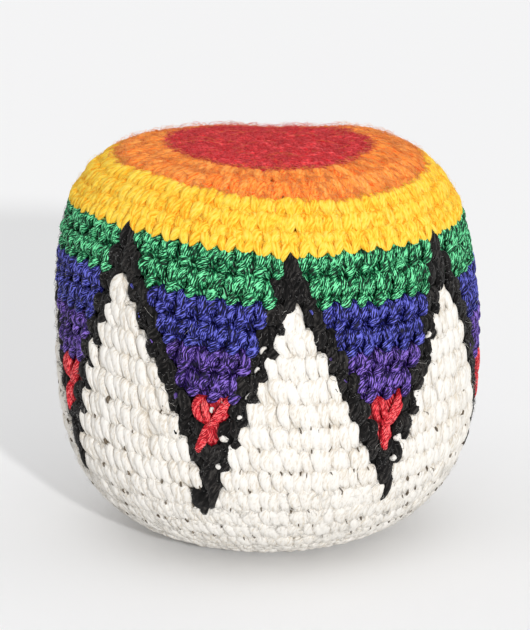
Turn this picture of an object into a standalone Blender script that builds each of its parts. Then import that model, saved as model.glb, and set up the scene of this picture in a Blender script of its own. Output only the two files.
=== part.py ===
"""Crocheted footbag: a cover of nine yarns, worked in rounds, stuffed with loose pellets.

The cover is one crocheted fabric. Each area of one yarn between two colour changes is a piece of
its own: crown, bands, panels, hearts, the black zigzag and the white base with its peaks. Lengths
are in metres and +Z is up. The origin is the middle of the flat spot that the bag rests on, and
angles run from the front, which faces -Y, towards +X.
"""
import bisect
import math

import bpy

# The stuffed cover
EQUATOR_RADIUS = 0.0270
CROWN_RISE = 0.02455
BASE_DROP = 0.02684
BASE_FLAT_DEPTH = 0.0005
COVER_THICKNESS = 0.0022
SEAM_GAP = 0.0003
FILL_CLEARANCE = 0.0004

# Powers of the superellipse that rounds the cover, above and below its widest round
CROWN_WIDTH_POWER = 5.7
CROWN_HEIGHT_POWER = 2.47
BASE_WIDTH_POWER = 2.88
BASE_HEIGHT_POWER = 2.94

# Rounds of stitches from the middle of the crown down, and how tall one round is
CROWN_ROUNDS = 5
CROWN_ROUND_HEIGHT = 0.0027
ORANGE_ROUNDS = 2
ORANGE_ROUND_HEIGHT = 0.0033
YELLOW_ROUNDS = 3
YELLOW_ROUND_HEIGHT = 0.0027
PATTERN_ROUND_HEIGHT = 0.00304

# The pattern below the bands, counted in rounds and in stitches
PEAKS = 7
STITCHES_PER_PEAK = 9
GREEN_ROUNDS = 2
BLUE_ROUNDS = 2
PURPLE_ROUNDS = 2
HEART_ROUNDS = 2
BLACK_ROUNDS = 2
WHITE_COLLAR_ROUNDS = 1
TIP_HALF_STITCHES = 0.25
SIDE_STEP_STITCHES = 0.5
PEAK_ANGLE = math.radians(8)
ROUND_LEAN = math.radians(0.25)

# Dips of a row's points, as shares of a round, from its left side to its right
STRAIGHT_SHARES = (0,)
HEART_TOP_SHARES = (0, 0.35, 0)
HEART_POINT_SHARES = (0, 0.3, 0)
PURPLE_POINT_SHARES = (0, 0, 0.35, 0, 0)

# How finely the round shapes are cut
OUTLINE_STEPS = 240
SLOPE_SPAN = 0.0004
BAND_COLUMNS = 63
CROWN_RING_COLUMNS = (42, 42, 21, 21, 7)
WHITE_PEAK_STEPS = 4
WHITE_BOWL_STEPS = 4
FILL_COLUMNS = 28
FILL_STEPS = 12
FILL_CAP_RADIUS = 0.0050
SHARP_ANGLE = math.radians(40)

# Colour in linear values, and roughness
YARNS = {
    "natural_yarn": ((0.83, 0.80, 0.74), 0.85),
    "black_yarn": ((0.012, 0.012, 0.013), 0.90),
    "green_yarn": ((0.006, 0.19, 0.065), 0.70),
    "blue_yarn": ((0.020, 0.018, 0.24), 0.70),
    "purple_yarn": ((0.065, 0.018, 0.21), 0.70),
    "heart_red_yarn": ((0.62, 0.012, 0.030), 0.75),
    "yellow_yarn": ((1.00, 0.58, 0.010), 0.80),
    "orange_yarn": ((1.00, 0.20, 0.018), 0.90),
    "crimson_yarn": ((0.47, 0.012, 0.028), 0.95),
    "plastic_pellets": ((0.60, 0.58, 0.52), 0.45),
}

# Worked out from the values above
STITCH_ANGLE = 2 * math.pi / (PEAKS * STITCHES_PER_PEAK)
ORANGE_START = CROWN_ROUNDS * CROWN_ROUND_HEIGHT
YELLOW_START = ORANGE_START + ORANGE_ROUNDS * ORANGE_ROUND_HEIGHT
PATTERN_START = YELLOW_START + YELLOW_ROUNDS * YELLOW_ROUND_HEIGHT
BLUE_TOP = GREEN_ROUNDS
PURPLE_TOP = BLUE_TOP + BLUE_ROUNDS
HEART_TOP = PURPLE_TOP + PURPLE_ROUNDS
HEART_BOTTOM = HEART_TOP + HEART_ROUNDS
PATTERN_BOTTOM = HEART_BOTTOM + BLACK_ROUNDS
VALLEY_STITCHES = STITCHES_PER_PEAK / 2
HALF_GAP = SEAM_GAP / 2

# A slanted edge between two yarns: half the gap, measured along a round and down the cover
EDGE_RUN = SIDE_STEP_STITCHES * STITCH_ANGLE * EQUATOR_RADIUS
EDGE_LENGTH = math.hypot(EDGE_RUN, PATTERN_ROUND_HEIGHT)
HALF_GAP_ALONG = HALF_GAP * EDGE_LENGTH / PATTERN_ROUND_HEIGHT
HALF_GAP_DOWN = HALF_GAP * EDGE_LENGTH / EDGE_RUN


def outline_points():
    """Radius and height of the cover's face, from the middle of the crown to the middle of the base."""
    base_level = BASE_FLAT_DEPTH - BASE_DROP
    points = []
    for step in range(2 * OUTLINE_STEPS + 1):
        turn = math.pi / 2 * (1 - step / OUTLINE_STEPS)
        wide_share = abs(math.cos(turn))
        tall_share = abs(math.sin(turn))
        if turn > 0:
            radius = EQUATOR_RADIUS * wide_share ** (2 / CROWN_WIDTH_POWER)
            height = CROWN_RISE * tall_share ** (2 / CROWN_HEIGHT_POWER)
        else:
            radius = EQUATOR_RADIUS * wide_share ** (2 / BASE_WIDTH_POWER)
            height = max(-BASE_DROP * tall_share ** (2 / BASE_HEIGHT_POWER), base_level)
        points.append((radius, height - base_level))
    return points


def distances_along(points):
    """How far each point lies from the first one, along the outline."""
    distances = [0.0]
    for (radius, height), (next_radius, next_height) in zip(points, points[1:]):
        distances.append(distances[-1] + math.hypot(next_radius - radius, next_height - height))
    return distances


OUTLINE = outline_points()
DISTANCES = distances_along(OUTLINE)
FLAT_EDGE = next(far for far, (_, height) in zip(DISTANCES, OUTLINE) if height <= 0)


def outline_at(distance):
    """Radius and height of the cover's face at a distance from the middle of the crown."""
    reach = min(max(distance, 0.0), DISTANCES[-1])
    after = min(bisect.bisect_right(DISTANCES, reach), len(DISTANCES) - 1)
    before = after - 1
    share = (reach - DISTANCES[before]) / (DISTANCES[after] - DISTANCES[before])
    radius = OUTLINE[before][0] + share * (OUTLINE[after][0] - OUTLINE[before][0])
    height = OUTLINE[before][1] + share * (OUTLINE[after][1] - OUTLINE[before][1])
    return radius, height


def cover_point(angle, distance, depth):
    """A point at an angle, a distance from the middle of the crown and a depth under the face."""
    radius, height = outline_at(distance)
    above = outline_at(distance - SLOPE_SPAN)
    below = outline_at(distance + SLOPE_SPAN)
    run = below[0] - above[0]
    rise = below[1] - above[1]
    slope_length = math.hypot(run, rise)
    radius += depth * rise / slope_length
    height -= depth * run / slope_length
    return radius * math.sin(angle), -radius * math.cos(angle), height


def pattern_angle(stitches, rounds):
    """Angle of a place in the pattern, whose columns of stitches lean a little from round to round."""
    return PEAK_ANGLE + STITCH_ANGLE * stitches + ROUND_LEAN * rounds


def pattern_distance(rounds):
    """Distance of a place in the pattern from the middle of the crown."""
    return PATTERN_START + PATTERN_ROUND_HEIGHT * rounds


def even_angles(columns):
    """Angles of the points of a plain ring."""
    return [PEAK_ANGLE + 2 * math.pi * column / columns for column in range(columns)]


def steps_between(start, end, steps):
    """Evenly spaced values from start to end, both included."""
    return [start + (end - start) * step / steps for step in range(steps + 1)]


def run_of_points(row, cell, step):
    """The point numbers along one side of a face that spans step points of a row."""
    return [row[(cell * step + offset) % len(row)] for offset in range(step + 1)]


def faces_between(upper, lower, closed):
    """Outward faces between two rows, where one row has a whole number of cells to each of the other."""
    upper_cells = len(upper) if closed else len(upper) - 1
    lower_cells = len(lower) if closed else len(lower) - 1
    cells = min(upper_cells, lower_cells)
    faces = []
    for cell in range(cells):
        top = run_of_points(upper, cell, upper_cells // cells)
        bottom = run_of_points(lower, cell, lower_cells // cells)
        faces.append(bottom + top[::-1])
    return faces


def skin_faces(rows, closed):
    """Outward faces over all the rows of one skin."""
    faces = []
    for upper, lower in zip(rows, rows[1:]):
        faces += faces_between(upper, lower, closed)
    return faces


def wall_faces(outer, inner, closed):
    """Faces that join the outer skin's row of points to the inner skin's."""
    cells = len(outer) if closed else len(outer) - 1
    faces = []
    for cell in range(cells):
        outer_side = run_of_points(outer, cell, 1)
        inner_side = run_of_points(inner, cell, 1)
        faces.append(outer_side + inner_side[::-1])
    return faces


def numbered(rows, first):
    """Point numbers for rows of points, counted on from first."""
    numbers = []
    for row in rows:
        numbers.append(list(range(first, first + len(row))))
        first += len(row)
    return numbers


def make_mesh(name, points, faces, yarn):
    """A smooth-shaded mesh in one yarn's material."""
    mesh = bpy.data.meshes.new(name)
    mesh.from_pydata(points, [], faces)
    mesh.shade_smooth()
    mesh.set_sharp_from_angle(angle=SHARP_ANGLE)
    mesh.materials.append(bpy.data.materials[yarn])
    mesh.validate()
    return mesh


def cover_mesh(name, yarn, rows, closed=False, crown_cap=False, base_cap=False):
    """A closed piece of the cover, from rows of (angle, distance) given from the crown down."""
    outer_points = [cover_point(angle, distance, 0.0) for row in rows for angle, distance in row]
    inner_points = [cover_point(angle, distance, COVER_THICKNESS) for row in rows for angle, distance in row]
    outer = numbered(rows, 0)
    inner = numbered(rows, len(outer_points))
    faces = skin_faces(outer, closed)
    faces += [face[::-1] for face in skin_faces(inner, closed)]
    if crown_cap:
        faces += [outer[0], inner[0][::-1]]
    else:
        faces += wall_faces(outer[0], inner[0], closed)
    if base_cap:
        faces += [outer[-1][::-1], inner[-1]]
    else:
        faces += [face[::-1] for face in wall_faces(outer[-1], inner[-1], closed)]
    if not closed:
        left_outer = [row[0] for row in outer]
        left_inner = [row[0] for row in inner]
        right_outer = [row[-1] for row in outer]
        right_inner = [row[-1] for row in inner]
        faces += [face[::-1] for face in wall_faces(left_outer, left_inner, closed)]
        faces += wall_faces(right_outer, right_inner, closed)
    return make_mesh(name, outer_points + inner_points, faces, yarn)


def place(name, mesh, parent, turn=0.0):
    """An object for a mesh, turned round the bag's axis."""
    piece = bpy.data.objects.new(name, mesh)
    bpy.context.scene.collection.objects.link(piece)
    piece.parent = parent
    piece.rotation_euler.z = turn
    return piece


def make_materials():
    """One material for each yarn and for the pellets."""
    for name, (colour, roughness) in YARNS.items():
        material = bpy.data.materials.new(name)
        material.use_nodes = True
        shader = material.node_tree.nodes["Principled BSDF"]
        shader.inputs["Base Color"].default_value = (*colour, 1.0)
        shader.inputs["Roughness"].default_value = roughness
        shader.inputs["Metallic"].default_value = 0.0


def make_crown(parent):
    """The crimson disc that closes the top."""
    edge = ORANGE_START - HALF_GAP
    rows = []
    for ring, columns in enumerate(CROWN_RING_COLUMNS):
        distance = edge * (CROWN_ROUNDS - ring) / CROWN_ROUNDS
        rows.insert(0, [(angle, distance) for angle in even_angles(columns)])
    mesh = cover_mesh("crimson_crown", "crimson_yarn", rows, closed=True, crown_cap=True)
    place("crimson_crown", mesh, parent)


def make_band(name, yarn, start, end, rounds, parent):
    """A plain band of one yarn round the cover."""
    distances = steps_between(start + HALF_GAP, end - HALF_GAP, rounds)
    rows = [[(angle, distance) for angle in even_angles(BAND_COLUMNS)] for distance in distances]
    place(name, cover_mesh(name, yarn, rows, closed=True), parent)


def panel_row(rounds, columns, shift, dip_shares):
    """One row of a panel between two black lines, shifted down by half a gap and dipped by shares."""
    distance = pattern_distance(rounds) + shift
    radius = outline_at(distance)[0]
    half_width = VALLEY_STITCHES - TIP_HALF_STITCHES - rounds * SIDE_STEP_STITCHES
    half_width -= HALF_GAP_ALONG / (radius * STITCH_ANGLE)
    row = []
    for column, across in enumerate(steps_between(-half_width, half_width, columns)):
        dip = dip_shares[column % len(dip_shares)] * PATTERN_ROUND_HEIGHT
        row.append((pattern_angle(VALLEY_STITCHES + across, rounds), distance + dip))
    return row


def make_panels(name, yarn, top, rounds, columns, parent, top_shares=STRAIGHT_SHARES,
                point_shares=STRAIGHT_SHARES):
    """The same panel of one yarn between every two peaks."""
    rows = [panel_row(top, columns, HALF_GAP, top_shares)]
    for row in range(1, rounds):
        rows.append(panel_row(top + row, columns, 0.0, STRAIGHT_SHARES))
    rows.append(panel_row(top + rounds, columns, -HALF_GAP, point_shares))
    mesh = cover_mesh(name, yarn, rows)
    for peak in range(PEAKS):
        place(f"{name}_{peak + 1}", mesh, parent, 2 * math.pi * peak / PEAKS)


def zigzag_stitches():
    """Places across one peak, in stitches from its middle, where its slanted edges cross a round."""
    half = [TIP_HALF_STITCHES + SIDE_STEP_STITCHES * step for step in range(STITCHES_PER_PEAK)]
    return [-VALLEY_STITCHES] + [-place_at for place_at in half[::-1]] + [0.0] + half


def zigzag_row(tip_rounds, gap_side):
    """One edge of the zigzag all the way round, with half a gap kept on the side that is asked for."""
    row = []
    for peak in range(PEAKS):
        for stitches in zigzag_stitches():
            slant = max(0.0, abs(stitches) - TIP_HALF_STITCHES) / SIDE_STEP_STITCHES
            rounds = tip_rounds + slant
            gap = HALF_GAP_DOWN if stitches else HALF_GAP
            angle = pattern_angle(stitches + peak * STITCHES_PER_PEAK, rounds)
            row.append((angle, pattern_distance(rounds) + gap_side * gap))
    return row


def blended_rows(first, last, steps):
    """Rows from the first to the last, both included, with the rows between spread evenly."""
    rows = []
    for share in steps_between(0.0, 1.0, steps):
        row = []
        for (angle, distance), (last_angle, last_distance) in zip(first, last):
            row.append((angle + share * (last_angle - angle), distance + share * (last_distance - distance)))
        rows.append(row)
    return rows


def make_zigzag(parent):
    """The black line that runs up and down round the cover, between the panels and the white peaks."""
    upper = zigzag_row(0, 1)
    lower = zigzag_row(BLACK_ROUNDS, -1)
    rows = blended_rows(upper, lower, BLACK_ROUNDS)
    place("black_zigzag", cover_mesh("black_zigzag", "black_yarn", rows, closed=True), parent)


def make_base(parent):
    """The white bowl with its peaks, which meets what the bag stands on."""
    collar = PATTERN_BOTTOM + WHITE_COLLAR_ROUNDS
    crest = zigzag_row(BLACK_ROUNDS, 1)
    collar_row = []
    for peak in range(PEAKS):
        for stitches in zigzag_stitches():
            angle = pattern_angle(stitches + peak * STITCHES_PER_PEAK, collar)
            collar_row.append((angle, pattern_distance(collar)))
    rows = blended_rows(crest, collar_row, WHITE_PEAK_STEPS)
    bowl_angles = [angle for angle, _ in collar_row[::2]]
    for distance in steps_between(pattern_distance(collar), FLAT_EDGE, WHITE_BOWL_STEPS)[1:]:
        rows.append([(angle, distance) for angle in bowl_angles])
    mesh = cover_mesh("white_base", "natural_yarn", rows, closed=True, base_cap=True)
    place("white_base", mesh, parent)


def make_fill(parent):
    """The settled mass of loose pellets that the cover holds."""
    depth = COVER_THICKNESS + FILL_CLEARANCE
    rows = []
    for distance in steps_between(FILL_CAP_RADIUS, DISTANCES[-1] - FILL_CAP_RADIUS, FILL_STEPS):
        rows.append([(angle, distance) for angle in even_angles(FILL_COLUMNS)])
    points = [cover_point(angle, distance, depth) for row in rows for angle, distance in row]
    numbers = numbered(rows, 0)
    faces = skin_faces(numbers, True) + [numbers[0], numbers[-1][::-1]]
    place("pellet_fill", make_mesh("pellet_fill", points, faces, "plastic_pellets"), parent)


def main():
    for old in list(bpy.data.objects):
        bpy.data.objects.remove(old)
    make_materials()
    bag = bpy.data.objects.new("footbag", None)
    bpy.context.scene.collection.objects.link(bag)
    make_crown(bag)
    make_band("orange_band", "orange_yarn", ORANGE_START, YELLOW_START, ORANGE_ROUNDS, bag)
    make_band("yellow_band", "yellow_yarn", YELLOW_START, PATTERN_START, YELLOW_ROUNDS, bag)
    make_panels("green_panel", "green_yarn", 0, GREEN_ROUNDS, STITCHES_PER_PEAK - 1, bag)
    make_panels("blue_panel", "blue_yarn", BLUE_TOP, BLUE_ROUNDS, STITCHES_PER_PEAK - 3, bag)
    make_panels("purple_panel", "purple_yarn", PURPLE_TOP, PURPLE_ROUNDS, STITCHES_PER_PEAK - 5, bag,
                point_shares=PURPLE_POINT_SHARES)
    make_panels("heart", "heart_red_yarn", HEART_TOP, HEART_ROUNDS, STITCHES_PER_PEAK - 7, bag,
                top_shares=HEART_TOP_SHARES, point_shares=HEART_POINT_SHARES)
    make_zigzag(bag)
    make_base(bag)
    make_fill(bag)


main()
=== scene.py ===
import itertools
import math

import bpy
import numpy as np
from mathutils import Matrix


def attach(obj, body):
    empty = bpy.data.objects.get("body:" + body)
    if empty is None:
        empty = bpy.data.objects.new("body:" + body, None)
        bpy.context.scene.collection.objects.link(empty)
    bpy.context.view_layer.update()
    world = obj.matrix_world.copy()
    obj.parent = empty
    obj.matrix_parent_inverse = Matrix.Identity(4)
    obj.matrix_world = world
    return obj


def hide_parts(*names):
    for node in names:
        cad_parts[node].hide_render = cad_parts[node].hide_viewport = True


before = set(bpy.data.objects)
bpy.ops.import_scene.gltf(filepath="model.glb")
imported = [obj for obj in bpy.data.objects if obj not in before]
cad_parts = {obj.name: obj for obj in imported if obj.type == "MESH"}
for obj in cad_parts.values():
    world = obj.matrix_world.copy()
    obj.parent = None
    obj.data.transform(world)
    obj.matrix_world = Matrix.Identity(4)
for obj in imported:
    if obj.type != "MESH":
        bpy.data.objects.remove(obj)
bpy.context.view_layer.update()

# The crocheted footbag, dressed in its stitches, in metres. Angles run from the front, which faces -Y,
# towards +X, and distances run down the cover from the middle of the crown. Most stitches are three
# strands: two legs that meet in a dome, and a tooth that dips between the domes of the round below.
# Orange, yellow and white stitches are two plump strands.
MM = 0.001

# The stuffed cover's outline, as in the frame
EQUATOR_RADIUS = 0.027
CROWN_RISE = 0.02455
BASE_DROP = 0.02684
BASE_FLAT_DEPTH = 0.0005
CROWN_WIDTH_POWER = 5.7
CROWN_HEIGHT_POWER = 2.47
BASE_WIDTH_POWER = 2.88
BASE_HEIGHT_POWER = 2.94
OUTLINE_STEPS = 720
SLOPE_SPAN = 0.0008

# Rounds of stitches, from the middle of the crown down
CROWN_COUNTS = (7, 14, 21, 28, 35)
CROWN_ROUND_HEIGHT = 0.0027
ORANGE_COUNTS = (42, 49)
ORANGE_ROUND_HEIGHT = 0.0033
YELLOW_COUNTS = (56, 56, 63)
YELLOW_ROUND_HEIGHT = 0.0027
PEAKS = 7
STITCHES_PER_PEAK = 9
PATTERN_ROUNDS = 10
PATTERN_ROUND_HEIGHT = 0.00304
BASE_COUNTS = (63, 63, 63, 56, 49, 42, 35, 28, 21, 14, 7)
PEAK_ANGLE = math.radians(8)
ROUND_LEAN = math.radians(0.25)
BLUE_LAST = 4
PANEL_KINDS = ((2, "green_panel"), (BLUE_LAST, "blue_panel"), (6, "purple_panel"), (PATTERN_ROUNDS, "heart"))
# These valleys of the black line have one more black stitch
LONG_VALLEYS = (2, 4, 6)
# The slack when rounds are told apart, in rounds, and the gap that ends a run of stitches, in pitches
ROUND_SLACK = 0.1
RUN_GAP = 1.5

# The bag leans to the left, and its crown sags at the back by these millimetres from side to side
LEAN = 0.55 * MM
LEAN_START = 30 * MM
FLOOR_CLEARANCE = 0.01 * MM
SAG_SIDES = (-25, -15, -10, -4.5, 0.5, 5.5, 8.5, 11, 13.5, 25)
SAG_DEPTHS = (0, 0.6, 0.85, 1.05, 1.5, 1.25, 0.95, 0.4, 0, 0)
SAG_FRONT = 3 * MM
SAG_BACK = 17 * MM
SAG_LOW = 30 * MM
SAG_HIGH = 44 * MM

# The hand-made rounds aren't even. At these angles and distances down the cover, in degrees and
# millimetres, TURNS says how far the stitches sit to the side, in degrees, and SLIDES how far down.
DRIFT_ANGLES = (-180, -120, -60, -40, -18, 5, 30, 55, 120, 180)
DRIFT_LEVELS = (0, 13.5, 20.1, 28.2, 34.3, 52.5, 61.7, 80)
EVEN = (0,) * len(DRIFT_ANGLES)
TURNS = (
    EVEN,
    (0, 0, 0, 0.3, 1.5, 0, -2.0, -2.0, 0, 0),
    (0, 0, 0, 0.4, 1.8, -0.5, -2.8, -3.4, 0, 0),
    (0, 0, 0, 0.4, 1.8, -0.5, -2.8, -3.6, 0, 0),
    (0, 0, 0, 0.4, 1.8, -0.5, -2.8, -3.6, 0, 0),
    (0, 0, 0, 0.2, 0.6, -0.8, -2.2, -3.0, 0, 0),
    (0, 0, 0, -0.4, -1.4, -1.0, -1.2, -2.0, 0, 0),
    EVEN,
)
SLIDES = (
    EVEN,
    (0, -0.6, -2.0, -1.6, -0.6, 0.3, 0.9, 0.5, -0.3, 0),
    (0, -0.4, -1.7, -1.7, -0.2, 0.7, 1.6, 1.5, 0.4, 0),
    (0, -0.5, -1.9, -1.8, -1.0, 0.0, 0.1, 0.5, 0.3, 0),
    (0, -0.4, -1.6, -1.2, -0.3, 0.7, 1.0, 1.2, 0.4, 0),
    (0, -0.2, -0.6, -0.4, 0.0, 0.6, 0.9, 0.9, 0.3, 0),
    (0, 0, 0, 0.2, 0.4, 0.4, 0.5, 0.5, 0, 0),
    EVEN,
)


def path(*points):
    """A strand's path over its stitch. The points are in hundredths: across in stitches, down in rounds,
    and out of the cover's face in millimetres."""
    return np.array(points) / 100


LEGS = (
    path((-5, -12, -105), (-21, 5, -60), (-30, 26, -36), (-31, 48, -46), (-23, 72, -105)),
    path((6, -12, -105), (21, 5, -60), (31, 26, -36), (37, 47, -46), (42, 70, -105)),
)
TOOTH = path((47, 46, -105), (37, 62, -60), (23, 82, -40), (10, 99, -52), (2, 116, -105))
SHORT_TOOTH = path((48, 38, -105), (38, 54, -58), (26, 70, -42), (14, 84, -56), (6, 98, -105))
# White stitches have two strands side by side, which both lean the same way
WHITE_LEAVES = (
    path((-27, -10, -105), (-37, 12, -46), (-33, 40, -32), (-20, 72, -40), (-6, 108, -105)),
    path((16, -10, -105), (13, 12, -46), (19, 40, -34), (30, 72, -42), (41, 106, -105)),
)
# Orange and yellow stitches have two strands that meet below
SOFT_PAIR = (
    path((-16, -14, -105), (-29, 8, -46), (-28, 36, -33), (-19, 70, -38), (-7, 110, -105)),
    path((20, -12, -105), (27, 10, -46), (25, 38, -35), (17, 70, -42), (8, 106, -105)),
)

# Special strands have their own half width, in stitches, and taper. The last yellow round ends in broad
# points of two strands.
BORDER_RIGHT = dict(width=0.25, taper=0.6, template=path(
    (50, 40, -95), (40, 62, -48), (28, 88, -30), (15, 114, -34), (3, 142, -90),
))
BORDER_LEFT = dict(width=0.23, taper=0.6, template=path(
    (-36, 40, -95), (-30, 62, -50), (-20, 88, -34), (-9, 114, -36), (1, 142, -90),
))
# The black line's lowest stitches: their column, and the tips of a long valley and a short one
VALLEY_BODY = dict(width=0.38, taper=0.2, template=path(
    (6, -30, -90), (5, 10, -34), (4, 45, -28), (4, 80, -30), (4, 120, -90),
))
WIDE_BODY = dict(VALLEY_BODY, width=0.5)
DEEP_TIP = dict(width=0.25, taper=0.3, template=path(
    (20, 40, -90), (18, 64, -28), (15, 90, -18), (12, 116, -22), (9, 146, -80),
))
VALLEY_TIP = dict(width=0.22, taper=0.4, template=path(
    (30, 45, -90), (26, 80, -28), (20, 120, -16), (12, 162, -18), (2, 208, -70),
))
# The black line's highest stitches: two strands that start in a long thin point between the yellow
# ones, and a tooth
BLACK_TOP_LEFT = dict(width=0.25, taper=-0.15, template=path(
    (12, -46, -62), (4, -16, -30), (-8, 18, -32), (-16, 52, -40), (-20, 90, -95),
))
BLACK_TOP_RIGHT = dict(width=0.23, taper=-0.15, template=path(
    (16, -40, -66), (22, -8, -34), (26, 26, -34), (30, 58, -42), (32, 92, -95),
))
TOP_TOOTH = dict(width=0.28, taper=0.3, template=TOOTH)
# The white stitch at the top of a peak: two strands that start in a point
PEAK_TIP_LEFT = dict(width=0.33, template=path(
    (4, -22, -85), (-8, 12, -36), (-20, 45, -32), (-24, 80, -38), (-16, 115, -85),
))
PEAK_TIP_RIGHT = dict(width=0.26, template=path(
    (6, 2, -85), (14, 30, -38), (22, 58, -34), (28, 88, -38), (32, 120, -85),
))

# A heart's strands about its lower stitch: a loop to the left, a slanted arm to the right, two stems
HEART_WIDTH = 0.2
HEART_STRANDS = (
    path((-30, -104, -95), (-58, -88, -44), (-66, -58, -36), (-52, -26, -40), (-16, 6, -85)),
    path((-50, -102, -95), (-32, -88, -42), (-22, -56, -36), (-10, -24, -40), (2, 20, -85)),
    path((96, -126, -95), (76, -86, -40), (48, -46, -30), (12, -2, -36), (-20, 40, -85)),
    path((98, -98, -95), (86, -70, -46), (64, -38, -40), (34, -4, -44), (10, 34, -90)),
)
HEART_STEMS = (
    path((4, -20, -85), (-10, 20, -36), (-22, 60, -32), (-34, 105, -36), (-48, 166, -85)),
    path((-20, -10, -90), (-4, 20, -42), (4, 45, -42), (8, 70, -50), (8, 98, -95)),
)
STEM_BENDS = {"heart_7": -0.29, "heart_1": 0.45}
USUAL_BEND = 0.25
DOTTED_HEARTS = ("heart_3", "heart_7")

# How strands vary and swell, and the bands of yarn behind them, in stitches, rounds and millimetres
CREST_LEVEL = -0.4
DEPTH_SPREAD = 0.05
SIZE_SPREAD = 0.06
LEG_FULLNESS = 0.8
LEAF_FULLNESS = 0.65
# Where along a strand the painted shade on its ends begins
SHADE_START = 0.35
PATTERN_SHIFT = 50
BACKING_OVERLAP = 0.62
BACKING_MIDDLE = 0.45
BACKING_WIDTH = 0.66
BACKING_THICK = 0.45
BACKING_SIDES = 8
# Painted shade: the bands behind the stitches are darker than their own yarn
BACKING_SHADE = -0.8

rng = np.random.default_rng(7)


# Outline and places on the cover


def outline():
    """Radius, height and distance of the cover's face, from the crown's middle to the base's."""
    base_level = BASE_FLAT_DEPTH - BASE_DROP
    turn = np.linspace(math.pi / 2, -math.pi / 2, 2 * OUTLINE_STEPS + 1)
    wide, tall = np.abs(np.cos(turn)), np.abs(np.sin(turn))
    upper = turn > 0
    radius = EQUATOR_RADIUS * np.where(upper, wide ** (2 / CROWN_WIDTH_POWER), wide ** (2 / BASE_WIDTH_POWER))
    rise = CROWN_RISE * tall ** (2 / CROWN_HEIGHT_POWER)
    drop = np.maximum(-BASE_DROP * tall ** (2 / BASE_HEIGHT_POWER), base_level)
    height = np.where(upper, rise, drop) - base_level
    steps = np.hypot(np.diff(radius), np.diff(height))
    return radius, height, np.concatenate(([0.0], np.cumsum(steps)))


OUTLINE_RADIUS, OUTLINE_HEIGHT, OUTLINE_DISTANCE = outline()
WHOLE_DISTANCE = OUTLINE_DISTANCE[-1]
ORANGE_START = len(CROWN_COUNTS) * CROWN_ROUND_HEIGHT
YELLOW_START = ORANGE_START + len(ORANGE_COUNTS) * ORANGE_ROUND_HEIGHT
PATTERN_START = YELLOW_START + len(YELLOW_COUNTS) * YELLOW_ROUND_HEIGHT
BASE_START = PATTERN_START + PATTERN_ROUNDS * PATTERN_ROUND_HEIGHT
BASE_ROUND_HEIGHT = (WHOLE_DISTANCE - BASE_START) / len(BASE_COUNTS)


def pattern_level(rounds):
    """The distance down to so many rounds below the start of the peaks and panels."""
    return PATTERN_START + rounds * PATTERN_ROUND_HEIGHT


def outline_radius(distance):
    return np.interp(distance, OUTLINE_DISTANCE, OUTLINE_RADIUS)


def outline_height(distance):
    return np.interp(distance, OUTLINE_DISTANCE, OUTLINE_HEIGHT)


def drift(table, angle, distance):
    """A value between those of a drift table, at an angle and a distance."""
    degrees = np.degrees((angle + math.pi) % (2 * math.pi) - math.pi)
    columns = np.array([np.interp(degrees, DRIFT_ANGLES, row) for row in table])
    level = np.interp(distance / MM, DRIFT_LEVELS, np.arange(len(DRIFT_LEVELS)))
    low = np.minimum(level.astype(int), len(DRIFT_LEVELS) - 2)
    blend = level - low
    first = np.take_along_axis(columns, low[None], axis=0)[0]
    second = np.take_along_axis(columns, low[None] + 1, axis=0)[0]
    return first + blend * (second - first)


def on_cover(angle, distance, lift):
    """Points at an angle and distance, lifted off the cover's face, and the outward normals there."""
    angle, distance = np.asarray(angle), np.asarray(distance)
    turn, slide = drift(TURNS, angle, distance), drift(SLIDES, angle, distance)
    angle = angle + np.radians(turn)
    place = np.clip(distance + slide * MM, 0.0, WHOLE_DISTANCE)
    before = np.clip(place - SLOPE_SPAN, 0.0, WHOLE_DISTANCE)
    after = np.clip(place + SLOPE_SPAN, 0.0, WHOLE_DISTANCE)
    run = outline_radius(after) - outline_radius(before)
    fall = outline_height(before) - outline_height(after)
    length = np.hypot(run, fall)
    out, up = fall / length, run / length
    radius = outline_radius(place) + lift * out
    height = outline_height(place) + lift * up
    points = np.stack((radius * np.sin(angle), -radius * np.cos(angle), height), axis=-1)
    normals = np.stack((out * np.sin(angle), -out * np.cos(angle), up), axis=-1)
    return points, normals


# Tubes of yarn


def spline_weights(points, places):
    """Weights of a smooth curve's control points at places from 0 to 1 along it."""
    weights = np.zeros((len(places), points))
    for row, place in enumerate(places):
        spot = place * (points - 1)
        first = min(int(spot), points - 2)
        t = spot - first
        blend = (
            (-t + 2 * t**2 - t**3) / 2,
            (2 - 5 * t**2 + 3 * t**3) / 2,
            (t + 4 * t**2 - 3 * t**3) / 2,
            (-(t**2) + t**3) / 2,
        )
        for offset, weight in zip((-1, 0, 1, 2), blend):
            weights[row, min(max(first + offset, 0), points - 1)] += weight
    return weights


def places_along(rings):
    """Places of a strand's end, rings and other end, closer together near the ends."""
    return (1 - np.cos(np.linspace(0, math.pi, rings + 2))) / 2


def unit(vectors):
    return vectors / np.maximum(np.linalg.norm(vectors, axis=-1, keepdims=True), 1e-12)


def fade(values, start, end):
    """Rises smoothly from 0 at start to 1 at end."""
    share = np.clip((values - start) / (end - start), 0, 1)
    return share * share * (3 - 2 * share)


def tube_faces(count, rings, sides):
    """The quads round each tube and the triangles that close its ends."""
    each = 2 + rings * sides
    last = 1 + (rings - 1) * sides
    side = np.arange(sides)
    after = (side + 1) % sides
    near = 1 + sides * np.arange(rings - 1)[:, None]
    corners = (near + side, near + after, near + sides + after, near + sides + side)
    quads = np.stack(corners, axis=-1).reshape(-1, 4)
    head = np.stack((np.zeros_like(side), 1 + after, 1 + side), axis=-1)
    tail = np.stack((np.full_like(side, each - 1), last + side, last + after), axis=-1)
    first = (np.arange(count) * each)[:, None, None]
    return (quads[None] + first).reshape(-1, 4), (np.concatenate((head, tail))[None] + first).reshape(-1, 3)


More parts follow.
